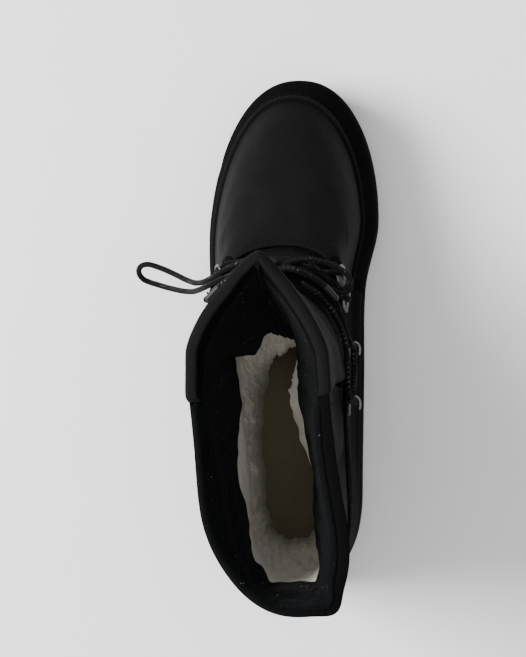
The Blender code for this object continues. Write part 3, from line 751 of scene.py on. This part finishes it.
# %% [markdown]
# ## The sole
# The outsole is one moulded block: a wall with two grooves, a tread of edge lugs and chevron bars.
# The body is a grid from the middle of the tread out to the edge, up the wall and back to the middle.
# Lugs are cubes, tapered to the ground and bevelled, because moulded rubber has no sharp edge.

# %% Sole body
SOLE_BACK, SOLE_FRONT = -145.3, 145.0
SOLE_CAPS = (52.0, 95.0)
LUG_DEPTH = 5.0
GROOVE = [(0, 0), (.015, -.1), (.035, -1.2), (.05, -1.35), (.13, -1.35), (.145, -1.2)]
SIDE = [  # share of the height, and distance out from the outline
    (0, -2.5), (.04, -1.5), (.10, -.8), (.16, -.2), (.22, 0),
    *[(.29 + up, out) for up, out in GROOVE], (.455, -.1), (.47, 0),
    *[(.59 + up, out) for up, out in GROOVE], (.755, -.3), (.77, -.2),
    (.85, -.2), (.93, -.4), (.965, -.7), (1, -1.4),
]
INWARD = (1, .97, .8, .55, .28, 0)  # share of the half width on the way to the centre line
SOLE_ROWS = np.array([(share, *SIDE[0]) for share in INWARD[:0:-1]] + [(1, *side) for side in SIDE]
                     + [(share, *SIDE[-1]) for share in INWARD[1:]])


def sole_line(around):
    around = (around + .5) % 1 - .5
    y = mix(SOLE_BACK, SOLE_FRONT, (1 + np.cos(math.tau * around)) / 2)
    half = half_width(y) * end_cap(y - SOLE_BACK, SOLE_CAPS[0], ROUND)
    half = half * end_cap(SOLE_FRONT - y, SOLE_CAPS[1], ROUND)
    return np.stack([centre_line(y) + np.copysign(half, around), y], -1)


def sole_edge(around, out):
    along = unit(sole_line(around + AROUND_STEP) - sole_line(around - AROUND_STEP))
    away = np.stack([-along[..., 1], along[..., 0]], -1)
    return sole_line(around) + away * np.asarray(out)[..., None], along


def sole_place(s, t):
    row = row_at(SOLE_ROWS, t)
    x, y = sole_edge(s, row[:, 2])[0].T
    x = mix(centre_line(y), x, row[:, 0])
    return np.stack([x, y, mix(sole_ground(y) + LUG_DEPTH, sole_top(y), row[:, 1])], 1)


sole = sheet(sole_place, 240, len(SOLE_ROWS) - 1, closed=True)

# %% Lugs of the tread
LUG_PITCH, LUG_WIDTH, LUG_REACH, LUG_PROUD, LUG_RISE = 25.0, 16.5, 13.0, -.6, 4.0
LUG_TAPER = .88
LUG_ROUND = .9
BAR_ROWS = (-112, -90, -68, 2, 24, 46, 68, 90)
BAR_LENGTH, BAR_OFFSET, BAR_WIDTH, BAR_ROOT = .46, .29, 8.0, 1.5
BAR_TURN = math.radians(25)


def lug(middle, along, width, reach, root):
    """Tapered block from the ground up into the sole's body."""
    block = bmesh.new()
    across = np.array((-along[1], along[0]))
    for vert in bmesh.ops.create_cube(block, size=1)["verts"]:
        foot = vert.co.z < 0
        taper = LUG_TAPER if foot else 1
        x, y = middle + (along * vert.co.x * width + across * vert.co.y * reach) * taper
        vert.co = Vector((x, y, sole_ground(y) + (0 if foot else LUG_DEPTH + root))) * MM
    bmesh.ops.recalc_face_normals(block, faces=block.faces)
    round_edges(block, LUG_ROUND)
    join(sole, block)


shares = np.linspace(0, 1, 721)
lengths = run_length(sole_line(shares))
lugs = round(lengths[-1] / LUG_PITCH)
for k in range(lugs):
    around = float(np.interp(lengths[-1] * (k + .5) / lugs, lengths, shares))
    middle, along = sole_edge(np.array(around), LUG_PROUD - LUG_REACH / 2)
    lug(middle, along, LUG_WIDTH, LUG_REACH, LUG_RISE)
for y in BAR_ROWS:
    for side in (-1, 1):
        middle = np.array((centre_line(y) + side * BAR_OFFSET * half_width(y), y))
        along = np.array((math.cos(BAR_TURN), -side * math.sin(BAR_TURN)))
        lug(middle, along, BAR_LENGTH * half_width(y), BAR_WIDTH, BAR_ROOT)
piece("sole_rubber", sole, RUBBER, "sole_rubber", "sole")

# %% [markdown]
# ## Creases
# Soft cloth bends where the foot bends it and bulges between its seams.
# A few creases are listed one by one, each from one point of the skin to another, as a soft trough or
# ridge.
# Even noise would be quicker, but it makes every part of the cloth look the same.

# %% Creases and soft edges
def creased(level, column, creases):
    """Height of creases: two ends as level and column, half width and height in millimetres."""
    here = on_skin(level, column)
    total = np.zeros(here.shape[:-1])
    for level_1, column_1, level_2, column_2, width, height in creases:
        start, end = on_skin(level_1, column_1), on_skin(level_2, column_2)
        run = end - start
        share = np.clip((here - start) @ run / run.dot(run), 0, 1)
        off = np.linalg.norm(here - start - share[..., None] * run, axis=-1)
        total += height * np.exp(-(off / width) ** 2) * np.sqrt(np.clip(4 * share * (1 - share), 0, 1))
    return total


def hem(s, t, width, height, edge):
    """Rounded rise from a panel's cut edge, as a share of its full thickness."""
    near = np.minimum(np.minimum(s, 1 - s) * width, np.minimum(t, 1 - t) * height)
    rest = 1 - np.clip(near / edge, 0, 1)
    return np.sqrt(1 - rest ** 2)


# %% [markdown]
# ## Mudguard, vamp and quarter
# Three panels are sewn onto the shell: a suede band round the toe, a woven plug over it
# and a coated panel round the heel that carries the rings and hooks.
# Each is a sheet a little over the skin, with rounded edges where it is turned and sewn.
# The band and the plug run under the front edges of the third, so that no gap shows between them.

# %% Panels
PANEL_EDGE, PANEL_SINK, PANEL_DEPTH = 1.6, .25, .6  # rounding of the edge, its drop, and the cloth
TUCKED = (-1.02, 1.02)  # columns of the band and the plug


def panel(name, levels, columns, thickness, size, grid, creases, finish, slot, node):
    """Sewn panel over a rectangle of the skin. Size is its width and height in millimetres."""
    def place(s, t):
        level, column = mix(*levels, t), mix(*columns, s)
        out = GAP + thickness * hem(s, t, *size, PANEL_EDGE) - PANEL_SINK + creased(level, column, creases)
        return on_skin(level, column, out)
    thicken(piece(name, sheet(place, *grid), finish, slot, node), PANEL_DEPTH)


MUDGUARD_CREASES = [(.2, .55, 1.6, .50, 4, -.5), (.3, -.62, 1.7, -.58, 4, -.4), (1, .9, 1.3, .70, 5, .5)]
VAMP_CREASES = [
    (5.5, -.75, 4.6, -.30, 7, -.9), (5.6, .80, 4.5, .35, 7, -.9), (5.2, -.1, 5.3, .5, 6, -.5),
    (3.2, -.85, 4.4, -.80, 6, .6), (3.2, .85, 4.4, .80, 6, .6), (3, -.3, 3.1, .3, 16, .5),
]
QUARTER_CREASES = [  # of the inner side, and mirrored
    (6.9, 1.10, 6, 1.30, 5, -1.6), (6.4, 1.08, 5.2, 1.22, 6, 1.2), (7.2, 1.25, 6.7, 1.55, 4, -1.5),
    (6.5, 1.45, 6.3, 1.85, 6, 1.3), (6, 1.40, 5.9, 1.80, 5, -1.2), (3.2, 1.15, 4.6, 1.25, 8, .8),
]
QUARTER_CREASES += [(a, 4 - b, c, 4 - d, *form) for a, b, c, d, *form in QUARTER_CREASES]
panel("mudguard_band", (0, 2.0), TUCKED, 1.5, (330, 40), (240, 36), MUDGUARD_CREASES,
      SUEDE, "mudguard_suede", "mudguard")
panel("vamp_plug", (1.98, 5.99), TUCKED, 1.2, (200, 95), (120, 100), VAMP_CREASES,
      VAMP, "vamp_nylon", "vamp")
panel("quarter_panel", (0, 7.7), (1, 3), 1.2, (330, 130), (260, 120), QUARTER_CREASES,
      QUARTER, "quarter_nylon", "quarter")

# %% [markdown]
# ## Tongue and shaft
# The tongue is padded: cloth runs up its outside, rolls over the rim and is turned in as a facing.
# Its wings lie over the front of the shaft. The inner one is puffed up, and the outer one leans in.
# The shaft is thinner. Its edge is narrow on the outer side and a wide soft roll on the inner side.
# Both are made from rows of a profile: height up the skin, distance out of it, and depth inside the rim.

# %% Profile rows
RIM_LEVEL = 9.86
RIM_CROWN = .24  # height of a rim over its width
tongue_out, tongue_in, outer_reach, inner_reach = columns_of([  # level, faces, half widths in columns
    (5.5, -3.8, -6.4, .97, .97), (5.95, -1.6, -6.4, .99, .99), (6.15, .2, -4.8, 1, 1),
    (6.4, 1, -4, 1, 1), (6.8, 1.5, -4.2, .99, .99), (7.35, 1.5, -4.3, .98, .92),
    (8, 1.5, -4.5, .99, .84), (8.5, 1.5, -4.8, 1, .86), (9.2, 1.5, -5.5, 1, .91),
    (9.6, 1.5, -6, 1, .945), (10, .6, -4.8, 1, .985)])
facing_depth = through((-1.1, -1, -.85, -.42, -.33, -.15, 0, .15, .36, .45, .85, 1, 1.1),
                       (2.5, 4, 11, 10, 10, 5, 1.5, 6, 11, 8, 6.5, 3.5, 2.5))
puff_by_level = through((5.5, 7.4, 8.0, 8.6, 9.2, 9.6, 10), (0, 0, .8, 1.1, .9, .6, .25))
puff_by_column = through((-1.1, 0, .2, .45, .75, .95, 1.1), (0, 0, .3, 1.1, 1.4, .9, .5))
wing_lean = through((-1.1, -1, -.85, -.65, -.45, -.25, 0, 1.1), (1, 1, -1.5, -3, -2.5, -.5, 0, 0))
LEAN_LEVELS = (8.2, 9.8)
COLLAR_BULGES = [(1.80, .085, 4.5), (2.66, .20, 4.2)]  # column, width, height
BULGE_LEVELS = (7.8, 10.0)


def bulge(level, column):
    """The collar's soft corner at the inner side of the heel, and the slack of its outer side."""
    return humps(column % 4, COLLAR_BULGES) * smooth(*BULGE_LEVELS, level)


def rolled_rim(first, outside, outer, inner, turns, facing):
    """Rows up the outside, over the rim and down: level, out, up, share of the puff and of the facing."""
    rows = [(level, float(outer(level)), 0, 1, 0) for level in np.linspace(first, RIM_LEVEL, outside)]
    high, low = float(outer(RIM_LEVEL)), float(inner(RIM_LEVEL))
    for angle in np.linspace(0, math.pi, turns)[1:]:
        over = (1 - math.cos(angle)) / 2
        crown = (high - low) * RIM_CROWN * math.sin(angle)
        rows.append((RIM_LEVEL, mix(high, low, over), crown, 1 - over, 0))
    return np.array(rows + [(RIM_LEVEL, low, 0, 0, share) for share in np.linspace(0, 1, facing)[1:]])


TONGUE_CREASES = [
    (6.5, -.5, 6.55, .5, 3, -1.2), (6.9, -.6, 6.95, .55, 3.5, 1.2), (7.2, -.5, 7.15, .6, 3, -1.2),
    (7.6, -.7, 7.5, .1, 4, 1.2), (7.9, .1, 7.8, .75, 4, -1.2), (8.5, .35, 8.2, .8, 5, -1.4),
    (9.4, .62, 8.3, .72, 6, 1.5), (9.2, .82, 8.4, .9, 5, -1.2), (9.3, -.6, 8.3, -.55, 6, -1.4),
    (8.8, -.15, 8, -.1, 5, 1.2), (9.6, .28, 8.8, .22, 5, -1), (6.3, .15, 6.2, .62, 3, 1.1),
]
TONGUE_WIDTH, TONGUE_EDGE, TONGUE_DROP = 230, 4, 2.5  # its width, its rounded edge and that edge's drop
tongue_rows = rolled_rim(5.7, 96, tongue_out, tongue_in, 16, 8)


def tongue_place(s, t):
    level, out, up, face, facing = row_at(tongue_rows, t).T
    column = mix(-1, 1, s) * np.where(s < .5, outer_reach(level), inner_reach(level))
    soft = hem(s, .5, TONGUE_WIDTH, TONGUE_WIDTH, TONGUE_EDGE)
    puff = puff_by_level(level) * puff_by_column(column) + creased(level, column, TONGUE_CREASES)
    out = out + puff * face - (1 - soft) * TONGUE_DROP + wing_lean(column) * smooth(*LEAN_LEVELS, level)
    return on_skin(level, column, out, up - facing * facing_depth(column))


padding = sheet(tongue_place, 150, len(tongue_rows) - 1)
tongue = piece("tongue_padded", padding, TONGUE, "tongue_nylon", "tongue")

# %% Shaft
SHAFT_CREASES = [
    (9.6, 1.12, 8, 1.08, 5, 1.4), (9.2, 1.22, 7.9, 1.16, 5, -1.4), (9.5, 1.34, 8, 1.30, 6, 1.3),
    (8.6, 1.45, 8, 1.75, 5, -1.5), (8.3, 1.75, 8.5, 2.2, 6, 1.3), (9.3, 1.62, 8.6, 1.85, 7, -1),
    (9.6, 2.86, 8.2, 2.90, 5, 1.3), (9, 2.74, 8, 2.82, 5, -1.5), (8.6, 2.55, 8.1, 2.25, 5, -1.4),
    (9.4, 2.45, 8.6, 2.40, 7, 1),
]
SHAFT_EDGE = -1.2  # inner side of the shaft's bare edge
SHAFT_COLUMNS = (.87, 3.08)
SHAFT_FACING = 2
rim_depth = through((-1, .8, 1.0, 1.15, 1.6, 1.85, 2.05, 3.2), (1.2, 1.2, 5.0, 6.2, 6.2, 3.5, 1.2, 1.2))
shaft_rows = rolled_rim(7.5, 60, lambda level: 0, lambda level: SHAFT_EDGE, 8, 4)


def shaft_place(s, t):
    level, out, up, _, facing = row_at(shaft_rows, t).T
    column = mix(*SHAFT_COLUMNS, s)
    wide = rim_depth(column) / -SHAFT_EDGE
    fade = smooth(RIM_LEVEL, RIM_LEVEL - .5, level)
    out = out * wide + creased(level, column, SHAFT_CREASES) * fade + bulge(level, column)
    return on_skin(level, column, out, up * np.sqrt(wide) - facing * SHAFT_FACING)


shaft = piece("shaft_cloth", sheet(shaft_place, 260, len(shaft_rows) - 1), SHAFT, "shell_nylon", "upper")

# %% [markdown]
# ## Lining and insole
# The collar is lined with black fleece, which hangs in to a loose hem over the ankle.
# Below the hem the boot is lined with thick cream pile, down to a felt insole.
# Each lining is a closed ring of cloth, drawn between two lines round the boot.
# The hem's line and the pile's foot are given as points, because they follow no form of the shell.
# Both are kept inside the shell's wall. The pile swells to a fringe along the inner side of the hem.

# %% Lines of the lining
Z_INSOLE = 5.3  # top of the insole over the sole
LINES = [  # column, hem of the fleece (x, y, z), foot of the pile (x, y, height over the insole)
    (-1, -25.2, -39.2, 104, -16, -40, 0), (-.89, -27, -24.2, 102, -15.2, -31, 0),
    (-.80, -30.2, -14.4, 100, -14.2, -26, 4), (-.72, -24.5, -13.6, 102, -13, -21, 10),
    (-.64, -18.8, -12.8, 104, -11.6, -18, 15), (-.55, -14.9, -8.5, 107, -10.2, -16, 20),
    (-.46, -12.1, -2.2, 109, -8, -14, 26), (-.36, -9.9, -1.1, 110, -6, -13, 31),
    (-.15, -5, -2.3, 110, -3, -11, 35), (.10, .4, -3.9, 110, 1, -9, 36),
    (.35, 3.8, -5, 109, 8, -7, 34), (.55, 4.8, -11.2, 107, 15, -10, 24),
    (.78, 5, -20.4, 104, 20, -22, 8), (1, 5.3, -35, 100, 22, -36, 0),
    (1.1, 8, -50.3, 98, 22.5, -48, 0), (1.2, 11.2, -66.6, 97, 22.5, -62, 0),
    (1.28, 13.4, -78.6, 97, 22, -73, 0), (1.45, 13.6, -101.4, 97, 20, -91, 0),
    (1.65, 16.3, -120.2, 106, 16, -105, 0), (1.80, 17.9, -127.5, 140, 11, -112.5, 0),
    (1.90, 16.2, -129.8, 154, 7, -116.5, 0), (2, 5.5, -130.3, 156, 2.5, -118.2, 0),
    (2.1, -5.9, -130.4, 156, -2, -118.2, 0), (2.22, -10.9, -124.1, 148, -6, -116, 0),
    (2.35, -17.2, -117.5, 140, -10, -111, 0), (2.53, -19, -102.6, 136, -14, -102, 0),
    (2.62, -21.2, -91.2, 135, -15.8, -92, 0), (2.75, -26, -72, 130, -17, -72, 0),
    (2.87, -25.9, -57.6, 118, -16.9, -55, 0), (3, -25.2, -39.2, 104, -16, -40, 0),
]
LINING = columns_of(LINES)
AXIS = ((-8.0, -32.0), (1.0, -108.0))  # middle of the opening, at its front and at its back


def hem_line(column):
    return np.stack([line(column) for line in LINING[:3]], -1)


def outward(points):
    """Level direction from the middle of the opening."""
    y = np.clip(points[:, 1], AXIS[1][1], AXIS[0][1])
    x = np.interp(y, (AXIS[1][1], AXIS[0][1]), (AXIS[1][0], AXIS[0][0]))
    return unit(np.stack([points[:, 0] - x, points[:, 1] - y, np.zeros(len(y))], 1))


def foot_line(column):
    x, y, height = [line(column) for line in LINING[3:]]
    angle = column * math.pi / 2
    uneven = .8 * np.sin(7 * angle + 1) + .6 * np.sin(17 * angle + 2) + .4 * np.sin(41 * angle)
    points = np.stack([x, y, sole_top(y) + Z_INSOLE + height], -1)
    return points + outward(points) * uneven[:, None]


def bow(start, first, second, end, t):
    """Smooth curve from start to end, drawn towards two points on its way."""
    t = t[:, None]
    return (1 - t) ** 3 * start + 3 * t * (1 - t) ** 2 * first + 3 * t * t * (1 - t) * second + t ** 3 * end


def wall_place(s, t):
    return on_skin(mix(0, RIM_LEVEL, t), mix(-1, 3, s), -WALL)


inner_wall = BVHTree.FromBMesh(sheet(wall_place, 160, 80))


def inside(points, depth):
    """Points moved in where they are not a depth inside the shell's wall."""
    moved = []
    for point in points:
        place, out, _, _ = inner_wall.find_nearest(Vector(point) * MM)
        off = (Vector(point) - place / MM).dot(out) + depth
        moved.append(Vector(point) - out * max(off, 0))
    return np.array(moved)


# %% Fleece
FLEECE_INSET, PILE_INSET = 2.8, 2.2  # how far each stays inside the wall
ROLL = .07  # share of the fleece that rolls over the shaft's edge
RAISE = np.array((0, 0, 1.0))


def fleece_place(s, t):
    column = mix(-1, 3, s)
    near = np.clip(from_front(column), -1, 1)
    front = smooth(1.03, .97, np.abs(from_front(column)))[:, None]
    turn = np.clip(t / ROLL, 0, 1)
    fall = np.clip((t - ROLL) / (1 - ROLL), 0, 1)
    edge = rim_depth(from_front(column))
    crown = 1.5 * np.sin(math.pi * turn) ** .7 - turn
    roll = on_skin(RIM_LEVEL, column, mix(.5, -3.4, turn) - edge + bulge(RIM_LEVEL, column), crown)
    sunk = .8 - facing_depth(near) - .8 * turn
    tuck = on_skin(RIM_LEVEL, near, mix(-4.6, -6.4, turn) + wing_lean(near), sunk)
    top = mix(roll, tuck, front)
    high = mix(on_skin(9.0, column, -5.7 - edge), on_skin(9.0, near, -9.0), front)
    low = hem_line(column)
    away = outward(low)
    angle = column * math.pi / 2
    waves = .45 * np.sin(20 * angle + fall * 5) + .35 * np.sin(43 * angle - fall * 9)
    ripple = RAISE * .5 * np.sin(34 * angle)[:, None]
    points = bow(top, high, low + away * 3.5 + RAISE * 30, low + ripple, fall)
    points = points + away * (waves * np.sin(fall * math.pi * .8))[:, None]
    return mix(points, inside(points, FLEECE_INSET), smooth(.06, .25, t)[:, None])


fleece = piece("lining_fleece_band", sheet(fleece_place, 320, 90, closed=True), FLEECE, "shell_nylon")
thicken(fleece, 1.6)

# %% Pile and insole
fringe = through((-1, .5, .65, .8, 1.0, 1.1, 1.2, 1.28, 1.38, 3), (0, 0, 5, 8, 9.5, 8.5, 6.5, 2, 0, 0))


def pile_place(s, t):
    column = mix(-1, 3, s)
    hem_points, foot = hem_line(column), foot_line(column)
    away = outward(hem_points)
    start = inside(hem_points, FLEECE_INSET) + away * 1.0 + RAISE * .2
    end = foot - RAISE * .6
    high = start - RAISE * 26 + away * 5
    low = foot + outward(foot) * 4 + RAISE * 17
    points = bow(start, high, low, end, t)
    angle = column * math.pi / 2
    lumps = (.9 * np.sin(18 * angle + t * 9) * np.sin(t * 17 + 4 * angle) + .5 * np.sin(39 * angle - t * 23)
             + .4 * np.sin(62 * angle + t * 31))
    lumps = lumps * smooth(0, .2, t) * smooth(1, .6, t)
    hang = fringe(column) * np.sin(math.pi * np.clip(t / .4, 0, 1))
    return inside(points + away * (lumps - hang)[:, None], PILE_INSET)


pile = piece("lining_pile_wall", sheet(pile_place, 300, 90, closed=True), PLUSH, "lining_plush")
thicken(pile, 2.0)


INSOLE_EDGE = .06  # share of its rows that round its edge


def insole_place(s, t):
    edge = on_skin(0, mix(0, 4, s), -WALL - .6)
    share = np.clip((1 - t) / (1 - INSOLE_EDGE), 0, 1)
    lift = np.clip(t / INSOLE_EDGE, 0, 1)
    x, y = mix(centre_line(edge[:, 1]), edge[:, 0], share), edge[:, 1]
    lumps = .35 * np.sin(x * .41 + y * .23) * np.sin(y * .31 - x * .17)
    height = Z_INSOLE + 1.6 * share ** 4 + lumps - (1 - np.sqrt(1 - (1 - lift) ** 2)) * 5
    return np.stack([x, y, sole_top(y) + height], 1)


piece("insole_felt_bed", sheet(insole_place, 220, 40, closed=True), FELT, "lining_plush", "insole")

# %% [markdown]
# ## Piping and seams
# A ribbed cord is sewn between the mudguard and the vamp, and rows of stitches hold the panels.
# A stitch is a tiny bead drawn out along its seam. There are many, so each has only a few faces.

# %% Piping
SEAM_POINTS = 240
PIPING_RADIUS, PIPING_SIDES = 1.5, 12


def seam_line(level_1, column_1, level_2, column_2, out):
    """Points along the skin between two of its points, and the directions out of it."""
    level, column = np.linspace((level_1, column_1), (level_2, column_2), SEAM_POINTS).T
    return on_skin(level, column, out), axes(level, column)[2]


edge, _ = seam_line(2.02, -.985, 2.02, .985, PIPING_RADIUS)
piping = tube(smooth_path(edge, .9), PIPING_RADIUS, PIPING_SIDES)
piece("mudguard_piping", piping, RIBBED, "mudguard_suede")

# %% Stitches
STITCH_LENGTH, STITCH_WIDTH, STITCH_PITCH = 2.1, .75, 2.9
SEAMS = [  # from level and column, to level and column, height over the skin
    (5.93, -.97, 5.93, .97, 1.15), (5.83, -.97, 5.83, .97, 1.15),
    (1.86, -.97, 1.86, .97, 1.75), (2.17, -.96, 2.17, .96, 1.4),
    (7.60, 1.02, 7.60, 2.98, 1.45), (7.50, 1.02, 7.50, 2.98, 1.45),
    (7.40, 1.022, 2.2, 1.022, 1.4), (7.40, 2.978, 2.2, 2.978, 1.4),
    (9.6, .99, 8.5, .955, .35), (9.6, 2.98, 8.5, 2.98, .35),
]
stitches = bmesh.new()
for *ends, out in SEAMS:
    line, normals = seam_line(*ends, out)
    length = run_length(line)
    for at in np.arange(STITCH_PITCH / 2, length[-1], STITCH_PITCH):
        k = min(int(np.searchsorted(length, at)), len(line) - 2)
        along = unit(line[k + 1] - line[k - 1])
        side = np.cross(normals[k], along)
        size = np.array((STITCH_LENGTH / 2, STITCH_WIDTH / 2, STITCH_WIDTH * .45)) * MM
        turn = Matrix(np.stack([along, side, normals[k]], 1) * size).to_4x4()
        turn = Matrix.Translation(Vector(line[k]) * MM) @ turn
        bmesh.ops.create_uvsphere(stitches, u_segments=6, v_segments=4, radius=1, matrix=turn)
piece("seam_stitches", stitches, THREAD, "mudguard_suede")
